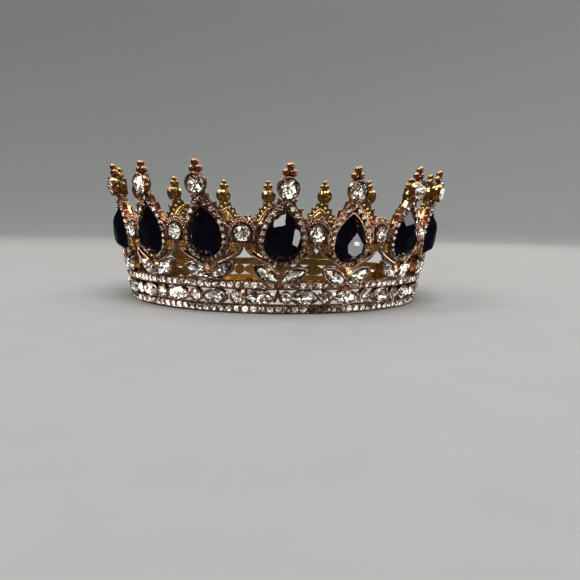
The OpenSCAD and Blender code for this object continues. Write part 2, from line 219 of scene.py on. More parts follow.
def navette(length, width, steps):
    arc_radius = (length ** 2 + width ** 2) / (4 * width)
    drop = arc_radius - width / 2
    reach = math.asin(length / 2 / arc_radius)
    angles = [-reach + 2 * reach * i / steps for i in range(steps)]
    below = [(arc_radius * math.sin(a), drop - arc_radius * math.cos(a)) for a in angles]
    return below + [(-x, -y) for x, y in below]


def pear_side(radius, rise):
    """The radius of the arc on a pear's side, and the angle that it spans up to the tip."""
    side_radius = (radius ** 2 + rise ** 2) / (2 * radius)
    return side_radius, math.asin(rise / side_radius)


def pear(radius, rise, low, high):
    """A pear round the middle of its round end, with its tip at the rise."""
    side_radius, reach = pear_side(radius, rise)
    inset = side_radius - radius
    half = [math.pi + math.pi * i / low for i in range(low)]
    climb = [reach * i / high for i in range(high)]
    fall = [reach - a for a in climb]
    below = [(radius * math.cos(a), radius * math.sin(a)) for a in half]
    right = [(side_radius * math.cos(a) - inset, side_radius * math.sin(a)) for a in climb]
    left = [(inset - side_radius * math.cos(a), side_radius * math.sin(a)) for a in fall]
    return below + right + left


def down_the_pear(radius, rise, distance):
    """The point on a pear's right half this far from its tip, and the way that it faces."""
    side_radius, reach = pear_side(radius, rise)
    if distance < side_radius * reach:
        a = reach - distance / side_radius
        return side_radius * math.cos(a) - side_radius + radius, side_radius * math.sin(a), a
    a = (distance - side_radius * reach) / radius
    return radius * math.cos(a), -radius * math.sin(a), -a


def half_pear_length(radius, rise):
    side_radius, reach = pear_side(radius, rise)
    return side_radius * reach + radius * math.pi / 2


# %% [markdown]
# ## How a rhinestone is cut
# A rhinestone is glass with a flat table on top, facets round it called stars, kites and halves,
# a thin girdle, and a pointed back that is covered with mirror foil.
# The foil throws the light back out, which is why such a stone sparkles without being clear.
# A single glass solid would look like a dull window here, so each stone gets two finishes:
# glass from the girdle up and foil from the girdle down.

# %% The cutter
GLASS_SLOT = 0
FOIL_SLOT = 1
KITE_HEIGHT = 0.5
KITE_BULGE = 0.06
BACK_EDGE_REACH = 0.5
BACK_EDGE_DEPTH = 0.62


def cut_form(outline, fine, table, crown, girdle, depth):
    """A stone in millimetres, cut to four numbers: its table as a share of its outline, the
    height of its crown, half its girdle and its depth.
    The outline holds `fine` points for each corner that facets meet at."""
    corners = outline[::fine]
    kites = len(corners) // 2
    count = len(outline)
    spread = (1 + table) / 2 + KITE_BULGE
    kite_level = girdle + (crown - girdle) * KITE_HEIGHT
    back_level = -girdle - (depth - girdle) * BACK_EDGE_DEPTH
    points = [(x * table, y * table, crown) for x, y in corners[::2]]
    points += [(x * spread, y * spread, kite_level) for x, y in corners[1::2]]
    points += [(x, y, girdle) for x, y in outline]
    points += [(x, y, -girdle) for x, y in outline]
    points += [(x * BACK_EDGE_REACH, y * BACK_EDGE_REACH, back_level) for x, y in corners[1::2]]
    points += [(0, 0, -depth)]
    edge = 2 * kites
    lower = edge + count
    back = lower + count
    tip = back + kites
    faces = [tuple(range(kites))]
    faces += [(i, kites + i, (i + 1) % kites) for i in range(kites)]
    for i in range(kites):
        before = (i - 1) % kites
        middle = edge + 2 * i * fine
        faces += [(i, kites + before, middle), (i, middle, kites + i)]
        for j in range(2 * i * fine, (2 * i + 2) * fine):
            faces += [(kites + i, edge + j, edge + (j + 1) % count)]
    glass_faces = len(faces)
    for j in range(count):
        after = (j + 1) % count
        faces += [(lower + j, lower + after, edge + after, edge + j)]
    for i in range(kites):
        before = (i - 1) % kites
        middle = lower + 2 * i * fine
        faces += [(tip, back + i, middle, back + before)]
        for j in range(2 * i * fine, (2 * i + 2) * fine):
            faces += [(back + i, lower + (j + 1) % count, lower + j)]
    slots = [GLASS_SLOT] * glass_faces + [FOIL_SLOT] * (len(faces) - glass_faces)
    return [(x * MM, y * MM, z * MM) for x, y, z in points], faces, slots


# %% [markdown]
# The pears are cut another way, because they are thick domes and not flat stones.
# The formula above would give them too many small facets. So each pear starts as a block with
# the right outline, and one plane after another slices a facet off it, as on a cutter's wheel.
# A facet is named by three numbers: its turn round the stone, its slope, and how far outside
# the outline its plane would meet the level of the girdle. The list holds the right half.

# %% The pear's facets
PEAR_RADIUS = 6.5
PEAR_RISE = 11.5
PEAR_CROWN = 3.7
PEAR_DEPTH = 2.4
PEAR_GIRDLE_HALF = 0.2
PEAR_STARS = [(36, 29, 2.1), (-7, 34, 2), (-60, 33, 2.1)]
PEAR_MAINS = [(51, 45, -0.2), (17.5, 43, 0.5), (-32, 47, 0.2), (-90, 49, 0)]
PEAR_HALVES = [(turn, 55, 0.14) for turn in (34, 4, -16, -47, -75)]
PEAR_BACK_TURNS = (51, 20, -12, -38, -64, -90)


def pear_reach(turn):
    """How far the outline reaches in a direction from -90 degrees up to the tip's."""
    if turn < 0:
        return PEAR_RADIUS
    side_radius, _ = pear_side(PEAR_RADIUS, PEAR_RISE)
    return side_radius - (side_radius - PEAR_RADIUS) * math.cos(math.radians(turn))


def both_sides(turn, slope, reach):
    turns = (turn, 180 - turn) if turn > -90 else (turn,)
    return [(side, slope, reach) for side in turns]


def pear_planes():
    """The crown's planes and the back's: each a turn, a slope and a reach at the girdle's level."""
    crown, back = [], []
    for turn, slope, extra in PEAR_STARS + PEAR_MAINS + PEAR_HALVES:
        crown += both_sides(turn, slope, pear_reach(turn) + extra)
    for turn in PEAR_BACK_TURNS:
        slope = math.degrees(math.atan((PEAR_DEPTH - PEAR_GIRDLE_HALF) / pear_reach(turn)))
        back += both_sides(turn, slope, PEAR_DEPTH / math.tan(math.radians(slope)))
    return crown, back


# %% The pear's block, sliced plane by plane
PEAR_LOW_STEPS = 24
PEAR_SIDE_STEPS = 12
CUT_TOLERANCE = 1e-5
SAME_CORNER = 1e-3
FACING_BACK = -0.01


def form_of(shape, scale=1.0):
    """The points and faces of a mesh that was being edited. It is then let go."""
    shape.verts.index_update()
    points = [tuple(v.co * scale) for v in shape.verts]
    faces = [tuple(v.index for v in f.verts) for f in shape.faces]
    shape.free()
    return points, faces


def slice_off(shape, turn, slope, reach, above):
    """Cuts away what lies outside one plane and closes the cut with a facet."""
    t, s = math.radians(turn), math.radians(slope)
    outward = Vector((math.cos(t) * math.sin(s), math.sin(t) * math.sin(s), above * math.cos(s)))
    start = Vector((math.cos(t), math.sin(t), 0)) * reach
    everything = shape.verts[:] + shape.edges[:] + shape.faces[:]
    cut = bmesh.ops.bisect_plane(shape, geom=everything, dist=CUT_TOLERANCE, plane_co=start,
                                 plane_no=outward, clear_outer=True)
    border = [part for part in cut["geom_cut"] if isinstance(part, bmesh.types.BMEdge)]
    if len(border) > 2:
        bmesh.ops.edgeloop_fill(shape, edges=border)


def sliced_pear_form(outline):
    crown, back = pear_planes()
    shape = bmesh.new()
    low = [shape.verts.new((x, y, -PEAR_DEPTH)) for x, y in outline]
    high = [shape.verts.new((x, y, PEAR_CROWN)) for x, y in outline]
    shape.faces.new(low[::-1])
    shape.faces.new(high)
    for i in range(len(outline)):
        j = (i + 1) % len(outline)
        shape.faces.new((low[i], low[j], high[j], high[i]))
    for planes, above in ((crown, 1), (back, -1)):
        for turn, slope, reach in planes:
            slice_off(shape, turn, slope, reach, above)
    bmesh.ops.remove_doubles(shape, verts=shape.verts, dist=SAME_CORNER)
    bmesh.ops.recalc_face_normals(shape, faces=shape.faces)
    slots = [FOIL_SLOT if f.normal.z < FACING_BACK else GLASS_SLOT for f in shape.faces]
    closed = all(len(edge.link_faces) == 2 for edge in shape.edges)
    print("pear:", len(slots), "facets,", "closed" if closed else "open")
    return *form_of(shape, MM), slots


pear_form = sliced_pear_form(pear(PEAR_RADIUS, PEAR_RISE, PEAR_LOW_STEPS, PEAR_SIDE_STEPS))

# %% [markdown]
# ## Beads, collars and wires
# The metal trim is made of three things. Grains are small balls, pushed up from the casting.
# Collars are the thin rings that hold each tiny stone, turned like a ring on a lathe.
# Wires are round and follow a curve, so they are swept along it. Blender's curves with a bevel
# would sweep them too, but a mesh can be stamped as the stones are.

# %% Grain and collar forms
LIP_WIDTH = 0.45
LIP_DROP_INSIDE = 0.6
LIP_DROP_OUTSIDE = 0.7


def closed_form(points, faces):
    """A closed form whose faces all look outward. The points are given in millimetres."""
    shape = bmesh.new()
    corners = [shape.verts.new([value * MM for value in point]) for point in points]
    for face in faces:
        shape.faces.new([corners[i] for i in face])
    bmesh.ops.recalc_face_normals(shape, faces=shape.faces)
    return *form_of(shape), [0] * len(faces)


def grain_form(radius, detail=2, height=1.0):
    shape = bmesh.new()
    bmesh.ops.create_icosphere(shape, subdivisions=detail, radius=radius * MM)
    points, faces = form_of(shape)
    return [(x, y, z * height) for x, y, z in points], faces, [0] * len(faces)


def turned_form(profile, count):
    """A closed ring turned round z from a profile of (radius, height) in millimetres."""
    steps = [math.tau * i / count for i in range(count)]
    points = [(r * math.cos(a), r * math.sin(a), z) for a in steps for r, z in profile]
    size = len(profile)
    faces = []
    for i in range(count):
        here, there = i * size, (i + 1) % count * size
        for j in range(size):
            k = (j + 1) % size
            faces.append((here + j, there + j, there + k, here + k))
    return closed_form(points, faces)


def collar_form(inner, wall, back, front, count):
    """A ring with a rounded lip in front. The lip's sizes are shares of the wall and of its width."""
    lip = wall * LIP_WIDTH
    outer = inner + wall
    profile = [(inner, back), (inner, front - lip * LIP_DROP_INSIDE), (inner + lip, front),
               (outer, front - lip * LIP_DROP_OUTSIDE), (outer, back)]
    return turned_form(profile, count)


# %% Wire and rim forms
WIRE_DOME = 0.8


def wire_form(path, radius, sides=8):
    """A round wire along a path of points in millimetres, with a small dome at each end."""
    points = []
    last = len(path) - 1
    for i, here in enumerate(path):
        along = Vector(path[min(i + 1, last)]) - Vector(path[max(i - 1, 0)])
        across = along.cross(Vector((0, 0, 1))).normalized()
        up = across.cross(along).normalized()
        for j in range(sides):
            a = math.tau * j / sides
            points.append(Vector(here) + (across * math.cos(a) + up * math.sin(a)) * radius)
    faces = []
    for i in range(last):
        here, there = i * sides, (i + 1) * sides
        for j in range(sides):
            k = (j + 1) % sides
            faces.append((here + j, here + k, there + k, there + j))
    for end, inner, first in ((0, 1, 0), (last, last - 1, last * sides)):
        step = Vector(path[end]) - Vector(path[inner])
        points.append(Vector(path[end]) + step.normalized() * radius * WIRE_DOME)
        for j in range(sides):
            faces.append((first + j, first + (j + 1) % sides, len(points) - 1))
    return closed_form(points, faces)


def rim_form(outline, radius, level=0.0, sides=6):
    """A round wire along a closed outline, with its middle at the given level, in millimetres."""
    count = len(outline)
    points, faces = [], []
    for i, (x, y) in enumerate(outline):
        before, after = Vector(outline[i - 1]), Vector(outline[(i + 1) % count])
        along = (after - before).normalized()
        for j in range(sides):
            a = math.tau * j / sides
            out = radius * math.cos(a)
            points.append((x + along.y * out, y - along.x * out, level + radius * math.sin(a)))
            here, there, k = i * sides, (i + 1) % count * sides, (j + 1) % sides
            faces.append((here + j, there + j, there + k, here + k))
    return closed_form(points, faces)


# %% [markdown]
# ## Finishes
# The gold is not one colour. Outside it is rosy and polished, inside it is a yellower gold,
# and in the corners, where dirt and old plating stay and shade falls, it turns to a dark red brown:
# this darkening is painted shade as well as dirt.
# Painting that by hand would take a texture for every piece. Instead one node group
# looks at the shape itself: how closed in a place is, how sharp its edge is
# and whether it faces into the crown or out of it. Every gold finish uses this group
# with its own colours.

# %% Small helpers for nodes
def add_node(tree, kind, **settings):
    made = tree.nodes.new(kind)
    for name, value in settings.items():
        setattr(made, name, value)
    return made


def set_inputs(made, **values):
    for name, value in values.items():
        made.inputs[name.replace("_", " ")].default_value = value
    return made


def feed(tree, value, socket):
    """Links an output to a socket, or writes a plain value into it."""
    if isinstance(value, bpy.types.NodeSocket):
        tree.links.new(value, socket)
    else:
        socket.default_value = value


def arithmetic(tree, operation, first, second, clamp=False):
    made = add_node(tree, "ShaderNodeMath", operation=operation, use_clamp=clamp)
    feed(tree, first, made.inputs[0])
    feed(tree, second, made.inputs[1])
    return made.outputs[0]


def vectors(tree, operation, first, second=None):
    """A step with vectors. A length or a dot product comes out as a number."""
    made = add_node(tree, "ShaderNodeVectorMath", operation=operation)
    feed(tree, first, made.inputs[0])
    if second is not None:
        feed(tree, second, made.inputs[1])
    return made.outputs["Value" if operation in ("LENGTH", "DOT_PRODUCT") else "Vector"]


# %% Colours, noise, ranges and groups
def blend_colours(tree, share, first, second, mode="MIX"):
    made = add_node(tree, "ShaderNodeMix", data_type="RGBA", blend_type=mode)
    for place, value in ((0, share), (6, first), (7, second)):
        feed(tree, value, made.inputs[place])
    return made.outputs[2]


def noise(tree, scale, detail=3.0, roughness=0.5, place=None):
    made = add_node(tree, "ShaderNodeTexNoise")
    set_inputs(made, Scale=scale, Detail=detail, Roughness=roughness)
    if place is None:
        place = add_node(tree, "ShaderNodeNewGeometry").outputs["Position"]
    tree.links.new(place, made.inputs["Vector"])
    return made.outputs["Fac"]


def remap(tree, value, low, high, to_low=0.0, to_high=1.0):
    made = add_node(tree, "ShaderNodeMapRange", interpolation_type="SMOOTHSTEP")
    set_inputs(made, From_Min=low, From_Max=high, To_Min=to_low, To_Max=to_high)
    tree.links.new(value, made.inputs["Value"])
    return made.outputs["Result"]


def new_group(name, inputs, outputs):
    group = bpy.data.node_groups.new(name, "ShaderNodeTree")
    for socket, kind in inputs:
        group.interface.new_socket(name=socket, in_out="INPUT", socket_type=kind)
    for socket, kind in outputs:
        group.interface.new_socket(name=socket, in_out="OUTPUT", socket_type=kind)
    return group, add_node(group, "NodeGroupInput"), add_node(group, "NodeGroupOutput")


# %% What the group for aged gold with painted shade looks at
COLOUR = "NodeSocketColor"
VALUE = "NodeSocketFloat"
NORMAL = "NodeSocketVector"
RAYS = 4
CORNER_REACH = 1.1 * MM
EDGE_RADIUS = 0.16 * MM
INTO_CROWN, OUT_OF_CROWN = -0.45, 0.35
OPEN, CLOSED = 0.75, 0.2
BLOTCH_SCALE = 420
BLOTCH_SHARE = 0.25
FLAT, SHARP = 0.995, 0.9


def outside_share(tree, place):
    """1 where the surface faces out of the crown and 0 where it faces into it."""
    outward = vectors(tree, "NORMALIZE", vectors(tree, "MULTIPLY", place.outputs["Position"], (1, 1, 0)))
    facing = vectors(tree, "DOT_PRODUCT", outward, place.outputs["Normal"])
    return remap(tree, facing, INTO_CROWN, OUT_OF_CROWN)


def shade_and_dirt_share(tree, outside, strength):
    """Painted shade and grime in the corners, found by ambient occlusion, with some blotches of grime on
    the outside.
    """
    # Painted shade: a place that ambient occlusion finds closed in is darkened, as shade falls there, and
    # this share also stands for the dirt that gathers in corners.
    open_air = add_node(tree, "ShaderNodeAmbientOcclusion", samples=RAYS)
    set_inputs(open_air, Distance=CORNER_REACH)
    closed = remap(tree, open_air.outputs["AO"], OPEN, CLOSED)
    blotches = remap(tree, noise(tree, BLOTCH_SCALE, detail=4, roughness=0.6), low=0.45, high=0.7)
    blotches = arithmetic(tree, "MULTIPLY", blotches, outside)
    faint = arithmetic(tree, "MULTIPLY", blotches, BLOTCH_SHARE)
    shade_and_dirt = arithmetic(tree, "ADD", closed, faint, clamp=True)
    return arithmetic(tree, "MULTIPLY", shade_and_dirt, strength, clamp=True)


def edge_share(tree, place, rounded):
    """1 on sharp edges, found where a rounded normal turns away from the true one."""
    turn = vectors(tree, "DOT_PRODUCT", rounded, place.outputs["Normal"])
    return remap(tree, turn, FLAT, SHARP)


# %% The group that ages gold and paints shade into its corners
SMEAR_SCALE = 900
SMEAR_ROUGHNESS = 0.12
GRIME_ROUGHNESS = 0.3
DIMPLE_SCALE = 1500
DIMPLE_STRENGTH = 0.5
DIMPLE_DEPTH = 0.07 * MM


def shaded_aged_gold_group():
    """Gold that is rosy outside, yellow inside, dark in its corners with painted shade and grime, and
    bright along its edges.
    """
    tree, given, result = new_group(
        "shaded aged gold",
        [("Rosy", COLOUR), ("Yellow", COLOUR), ("Dark", COLOUR), ("Polish", VALUE), ("Dirt", VALUE)],
        [("Color", COLOUR), ("Roughness", VALUE), ("Normal", NORMAL)])
    place = add_node(tree, "ShaderNodeNewGeometry")
    bevel = add_node(tree, "ShaderNodeBevel", samples=RAYS)
    set_inputs(bevel, Radius=EDGE_RADIUS)
    rounded = bevel.outputs["Normal"]
    outside = outside_share(tree, place)
    shade_and_dirt = shade_and_dirt_share(tree, outside, given.outputs["Dirt"])
    # Sharp edges are kept clear of the painted shade and dirt; what is left darkens the colour.
    left = arithmetic(tree, "SUBTRACT", shade_and_dirt, edge_share(tree, place, rounded), clamp=True)
    clean = blend_colours(tree, outside, given.outputs["Yellow"], given.outputs["Rosy"])
    feed(tree, blend_colours(tree, left, clean, given.outputs["Dark"]), result.inputs["Color"])

    smear = arithmetic(tree, "MULTIPLY", noise(tree, SMEAR_SCALE, 2), SMEAR_ROUGHNESS)
    grime = arithmetic(tree, "MULTIPLY", left, GRIME_ROUGHNESS)
    dull = arithmetic(tree, "ADD", smear, grime)
    rough = arithmetic(tree, "ADD", given.outputs["Polish"], dull)
    feed(tree, rough, result.inputs["Roughness"])

    dimples = add_node(tree, "ShaderNodeBump")
    set_inputs(dimples, Strength=DIMPLE_STRENGTH, Distance=DIMPLE_DEPTH)
    lumps = arithmetic(tree, "MULTIPLY", noise(tree, DIMPLE_SCALE, 2), outside)
    feed(tree, lumps, dimples.inputs["Height"])
    feed(tree, rounded, dimples.inputs["Normal"])
    feed(tree, dimples.outputs["Normal"], result.inputs["Normal"])
    return tree


shaded_aged_gold = shaded_aged_gold_group()
print("shaded aged gold group:", len(shaded_aged_gold.nodes), "nodes")

# %% [markdown]
# Five gold finishes use the group: the cast frame, the polished grains on it, the wires
# of the scrolls, the yellower grains inside the scrolls, and the collars round the smallest
# stones, which are made dark as painted shade between the stones and their grains.

# %% Gold finishes
# The dark red brown of the painted shade and dirt in the gold's corners.
RED_BROWN = (0.05, 0.012, 0.006)
INNER_YELLOW = (0.84, 0.59, 0.27)


def principled(name):
    print("finish:", name)
    material = bpy.data.materials.new(name)
    material.use_nodes = True
    return material, material.node_tree, material.node_tree.nodes["Principled BSDF"]


def gold_finish(name, rosy, yellow, dark, polish, shade_and_dirt):
    material, tree, shader = principled(name)
    shader.inputs["Metallic"].default_value = 1.0
    # The group paints shade into the corners together with dirt; the last number sets how strong both
    # are.
    aged = add_node(tree, "ShaderNodeGroup")
    aged.node_tree = shaded_aged_gold
    set_inputs(aged, Rosy=(*rosy, 1), Yellow=(*yellow, 1), Dark=(*dark, 1), Polish=polish, Dirt=shade_and_dirt)
    feed(tree, aged.outputs["Color"], shader.inputs["Base Color"])
    feed(tree, aged.outputs["Roughness"], shader.inputs["Roughness"])
    feed(tree, aged.outputs["Normal"], shader.inputs["Normal"])
    return material


# In each gold finish the last number is the strength of its painted shade and dirt in the corners.
cast_gold = gold_finish("cast_gold", rosy=(0.50, 0.24, 0.135), yellow=(0.46, 0.29, 0.10),
                        dark=RED_BROWN, polish=0.11, shade_and_dirt=0.95)
grain_gold = gold_finish("grain_gold", rosy=(1.0, 0.70, 0.53), yellow=INNER_YELLOW,
                         dark=(0.16, 0.045, 0.022), polish=0.08, shade_and_dirt=0.55)
wire_gold = gold_finish("wire_gold", rosy=(1.0, 0.68, 0.48), yellow=INNER_YELLOW,
                        dark=(0.3, 0.1, 0.05), polish=0.12, shade_and_dirt=0.3)
flower_gold = gold_finish("flower_gold", rosy=(1.0, 0.58, 0.20), yellow=INNER_YELLOW,
                          dark=(0.4, 0.13, 0.03), polish=0.16, shade_and_dirt=0.4)
# The collar gold is darker than the grain gold: on the collars it is painted shade in the rings between
# the small stones and their grains.
collar_gold = gold_finish("collar_gold", rosy=(0.70, 0.36, 0.24), yellow=(0.60, 0.38, 0.15),
                          dark=RED_BROWN, polish=0.12, shade_and_dirt=0.95)
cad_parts["frame"].data.materials.clear()
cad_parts["frame"].data.materials.append(cast_gold)

# %% [markdown]
# ## Glass and foil
# The clear stones have a faint green yellow cast, and each one differs a little from its neighbour.
# The foil behind them is bright, with clouded red brown spots where it has aged.
# The pear stones are so dark a purple that they look black until a facet catches a window.
# Their foil is nearly black too, apart from a few bright flecks that flash violet. Their index
# is lower than that of real glass: it keeps the facets that see no window as black as they should be.

# %% Stone finishes
STREAK_SCALE = 260
STREAK_SHARE = 0.5
TONE_SHARE = 0.6
SPOT_SCALE = 700
SPOT_ROUGHNESS = 0.2


def tone_of(tree):
    made = add_node(tree, "ShaderNodeAttribute", attribute_name="tone")
    return made.outputs["Fac"]


def glass_finish(name, first, second, index):
    """Glass between two colours: each stone has its own mix, with faint streaks in it."""
    material, tree, shader = principled(name)
    set_inputs(shader, Transmission_Weight=1.0, IOR=index, Roughness=0.0, Metallic=0.0)
    streaks = arithmetic(tree, "MULTIPLY", noise(tree, STREAK_SCALE, 2), STREAK_SHARE)
    own = arithmetic(tree, "MULTIPLY", tone_of(tree), TONE_SHARE)
    share = arithmetic(tree, "ADD", own, streaks, clamp=True)
    feed(tree, blend_colours(tree, share, (*first, 1), (*second, 1)), shader.inputs["Base Color"])
    return material


def foil_finish(name, first, second, spotted, polish, spread):
    """Foil between two colours, with spots where a noise passes the spread's two levels."""
    material, tree, shader = principled(name)
    shader.inputs["Metallic"].default_value = 1.0
    fresh = blend_colours(tree, tone_of(tree), (*first, 1), (*second, 1))
    spots = remap(tree, noise(tree, SPOT_SCALE), *spread)
    feed(tree, blend_colours(tree, spots, fresh, (*spotted, 1)), shader.inputs["Base Color"])
    rough = arithmetic(tree, "MULTIPLY", spots, SPOT_ROUGHNESS)
    feed(tree, arithmetic(tree, "ADD", rough, polish), shader.inputs["Roughness"])
    return material


clear_glass = glass_finish("clear_glass", (0.99, 0.99, 0.98), (0.97, 0.97, 0.92), index=1.56)
mirror_foil = foil_finish("mirror_foil", (0.98, 0.97, 0.95), (0.80, 0.76, 0.70),
                          spotted=(0.14, 0.08, 0.055), polish=0.04, spread=(0.52, 0.58))
dull_foil = foil_finish("dull_foil", (0.05, 0.04, 0.05), (0.10, 0.08, 0.09),
                        spotted=(0.02, 0.02, 0.02), polish=0.2, spread=(0.56, 0.7))
amethyst_glass = glass_finish("amethyst_glass", (0.026, 0.007, 0.05), (0.014, 0.004, 0.026), index=1.37)
amethyst_foil = foil_finish("amethyst_foil", (0.05, 0.025, 0.07), (0.03, 0.015, 0.05),
                            spotted=(0.9, 0.7, 1.0), polish=0.05, spread=(0.66, 0.74))


# %% Stones and trim in their usual finishes
def set_stones(name, form, places, foil=mirror_foil):
    return stamp(name, form, places, (clear_glass, foil))


def add_trim(name, form, places, finish=grain_gold, smooth=True):
    return stamp(name, form, places, (finish,), smooth)


# %% [markdown]
# ## The large stones
# Each large stone takes the place of its plain solid, with the same outline, table and height.
# Only the girdle is rounder and the back has more facets. The solids could be given
# the finishes as they are, but a rough girdle shows at once in glass.

# %% Pear stones and top stones
ROUND_POINTS = 32
PEAR_GIRDLE = 0.4
TOP_LEVEL = 47.4
TOP_RADIUS = 3.5
TOP_GIRDLE = 2
TOP_TURN = 11
TOP_CUT = (0.55, 1.4, 0.15, 1.9)

top_form = cut_form(ring(TOP_RADIUS, ROUND_POINTS), 2, *TOP_CUT)
for k in range(POINT_COUNT):
    number = f"{k + 1:02d}"
    pear_place = on_point(k) @ spot(0, PEAR_LEVEL, PEAR_GIRDLE)
    pear_finishes = (amethyst_glass, amethyst_foil)
    pear_gem = stamp("pear_gem_" + number, pear_form, [pear_place], pear_finishes)
    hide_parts("pear_" + number)
    top_place = on_point(k) @ spot(0, TOP_LEVEL, TOP_GIRDLE, TOP_TURN)
    top_gem = set_stones("top_gem_" + number, top_form, [top_place])
    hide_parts("top_stone_" + number)

# %% Stones between the points
BETWEEN_LEVEL = 30
BETWEEN_RADIUS = 2.9
BETWEEN_GIRDLE = 1.1
BETWEEN_CUT = (0.55, 1.2, 0.15, 1.7)
FREE_TURN = 45

between_form = cut_form(ring(BETWEEN_RADIUS, ROUND_POINTS), 2, *BETWEEN_CUT)
between_places = [place @ spot(0, 0, 0, chance.uniform(0, FREE_TURN))
                  for place in on_every_between([(0, BETWEEN_LEVEL, BETWEEN_GIRDLE)])]
between_gems = set_stones("between_gems", between_form, between_places)
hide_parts("between_stones")

# %% [markdown]
# ## Leaves and band
# Two navettes open like leaves under every pear. More navettes lie along the band
# between the rails, with a round stone between each two. One round is smaller and squeezed
# aside, as where the ends of a strip meet. A thin bezel wire runs round each of these stones.
# It could be part of the cup, but as a wire of its own it stays round.

# %% Leaf stones
LEAF_LENGTH = 10.2
LEAF_WIDTH = 4.8
LEAF_FOOT = 13.2
LEAF_GAP = 0.46
LEAF_RISE = 31
LEAF_CUT = (0.6, 1.0, 0.15, 1.4)
LOW_GIRDLE = 0.3
SIDES = (-1, 1)
SNUG = 0.2
SNUG_STEPS = 12
RIM_STEPS = 14
RIM_GAP = 0.34
RIM_POINT_GAP = 0.425
RIM_WIRE = 0.22


def at_leaf(side):
    """The middle of a leaf in a point's drawing plane, with x along the leaf."""
    mirror = Matrix.Scale(-1, 4, (1, 0, 0)) if side < 0 else Matrix.Identity(4)
    return mirror @ spot(LEAF_GAP, LEAF_FOOT, 0, LEAF_RISE) @ spot(LEAF_LENGTH / 2, 0, 0)


def flipped(side):
    """Turns a mirrored copy the right way round again, since the form itself is symmetric."""
    return Matrix.Scale(-1, 4, (0, 1, 0)) if side < 0 else Matrix.Identity(4)


def navette_form(length, width, cut):
    """A navette that fills its cup, a little larger than its solid."""
    return cut_form(navette(length + SNUG, width + SNUG, SNUG_STEPS), 2, *cut)


def navette_rim(length, width):
    """The thin bezel wire round a navette. It reaches further at the points than at the sides."""
    outline = navette(length + 2 * RIM_POINT_GAP, width + 2 * RIM_GAP, RIM_STEPS)
    return rim_form(outline, RIM_WIRE)


leaf_places = [on_point(k) @ at_leaf(side) @ spot(0, 0, LOW_GIRDLE) @ flipped(side)
               for k in range(POINT_COUNT) for side in SIDES]
leaf_gems = set_stones("leaf_gems", navette_form(LEAF_LENGTH, LEAF_WIDTH, LEAF_CUT), leaf_places)
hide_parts("leaf_stones")
add_trim("leaf_rims", navette_rim(LEAF_LENGTH, LEAF_WIDTH), leaf_places)

# %% Band navettes
BAND_COUNT = 24
BAND_STEP = 360 / BAND_COUNT
BAND_PHASE = -6.4
BAND_LEVEL = 6.15
BAND_LENGTH = 10.4
BAND_WIDTH = 4.8
BAND_NAVETTE_CUT = (0.6, 1.1, 0.15, 1.5)


def on_band(k):
    """The wall at band navette k. Half a step further stands a round."""
    return on_wall(BAND_PHASE + k * BAND_STEP)


navette_places = [on_band(k) @ spot(0, BAND_LEVEL, LOW_GIRDLE) for k in range(BAND_COUNT)]
band_navette = navette_form(BAND_LENGTH, BAND_WIDTH, BAND_NAVETTE_CUT)
navette_gems = set_stones("band_navette_gems", band_navette, navette_places)
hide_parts("band_navettes")
add_trim("navette_rims", navette_rim(BAND_LENGTH, BAND_WIDTH), navette_places)

# %% Band rounds
BAND_ROUND_RADIUS = 2.15
BAND_ROUND_CUT = (0.55, 1.0, 0.15, 1.5)
SQUEEZE_TURN = 1.45
SQUEEZED_SCALE = 0.84


def on_round(k):
    squeeze = SQUEEZE_TURN / BAND_STEP if k == 0 else 0
    return on_band(k + 0.5 + squeeze)


def round_size(k):
    return SQUEEZED_SCALE if k == 0 else 1


def round_place(k):
    turn = chance.uniform(0, FREE_TURN)
    return on_round(k) @ spot(0, BAND_LEVEL, LOW_GIRDLE, turn, round_size(k))


round_places = [round_place(k) for k in range(BAND_COUNT)]
band_round = cut_form(ring(BAND_ROUND_RADIUS, ROUND_POINTS), 2, *BAND_ROUND_CUT)
round_gems = set_stones("band_round_gems", band_round, round_places)
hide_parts("band_rounds")
round_rim = rim_form(ring(BAND_ROUND_RADIUS + RIM_GAP, count=24), RIM_WIRE)
add_trim("round_rims", round_rim, round_places)

# %% [markdown]
# ## The rows in the rails
# Each rail is a channel full of small round stones. Every stone sits in its own collar,
# and between two stones stand two grains, one high and one low, that hold both.
# An array modifier along a curve would place them all alike. But the stones were set by hand,
# so each is turned and tilted a little, and that is what makes the row sparkle unevenly.
# Two stones near the front have lost their foil and look black.

# %% Row stones, collars and grains
ROW_GEM_RADIUS = 1.24
ROW_CUT = (0.52, 0.68, 0.08, 0.9)
ROW_GIRDLE = 0.28
ROW_TILT = 5
LOWER_ROW_COUNT = 128
UPPER_ROW_COUNT = 136
LOWER_ROW_HEIGHT = 1.7
UPPER_ROW_HEIGHT = 10.6
LOST_FOIL = (4, 5)
ROW_GRAIN_RADIUS = 0.4
ROW_GRAIN_OFFSET = 1.02
ROW_GRAIN_LEVEL = 0.3


def hand_set(tilt):
    """A small tilt and any turn, as a stone gets when it is set by hand."""
    lean = Matrix.Rotation(math.radians(chance.uniform(-tilt, tilt)), 4, "X")
    side = Matrix.Rotation(math.radians(chance.uniform(-tilt, tilt)), 4, "Y")
    return lean @ side @ Matrix.Rotation(math.radians(chance.uniform(0, 90)), 4, "Z")


row_form = cut_form(ring(ROW_GEM_RADIUS, count=16), 1, *ROW_CUT)
row_collar = collar_form(inner=ROW_GEM_RADIUS - 0.04, wall=0.24, back=-0.5, front=0.34, count=14)
row_grain = grain_form(ROW_GRAIN_RADIUS)


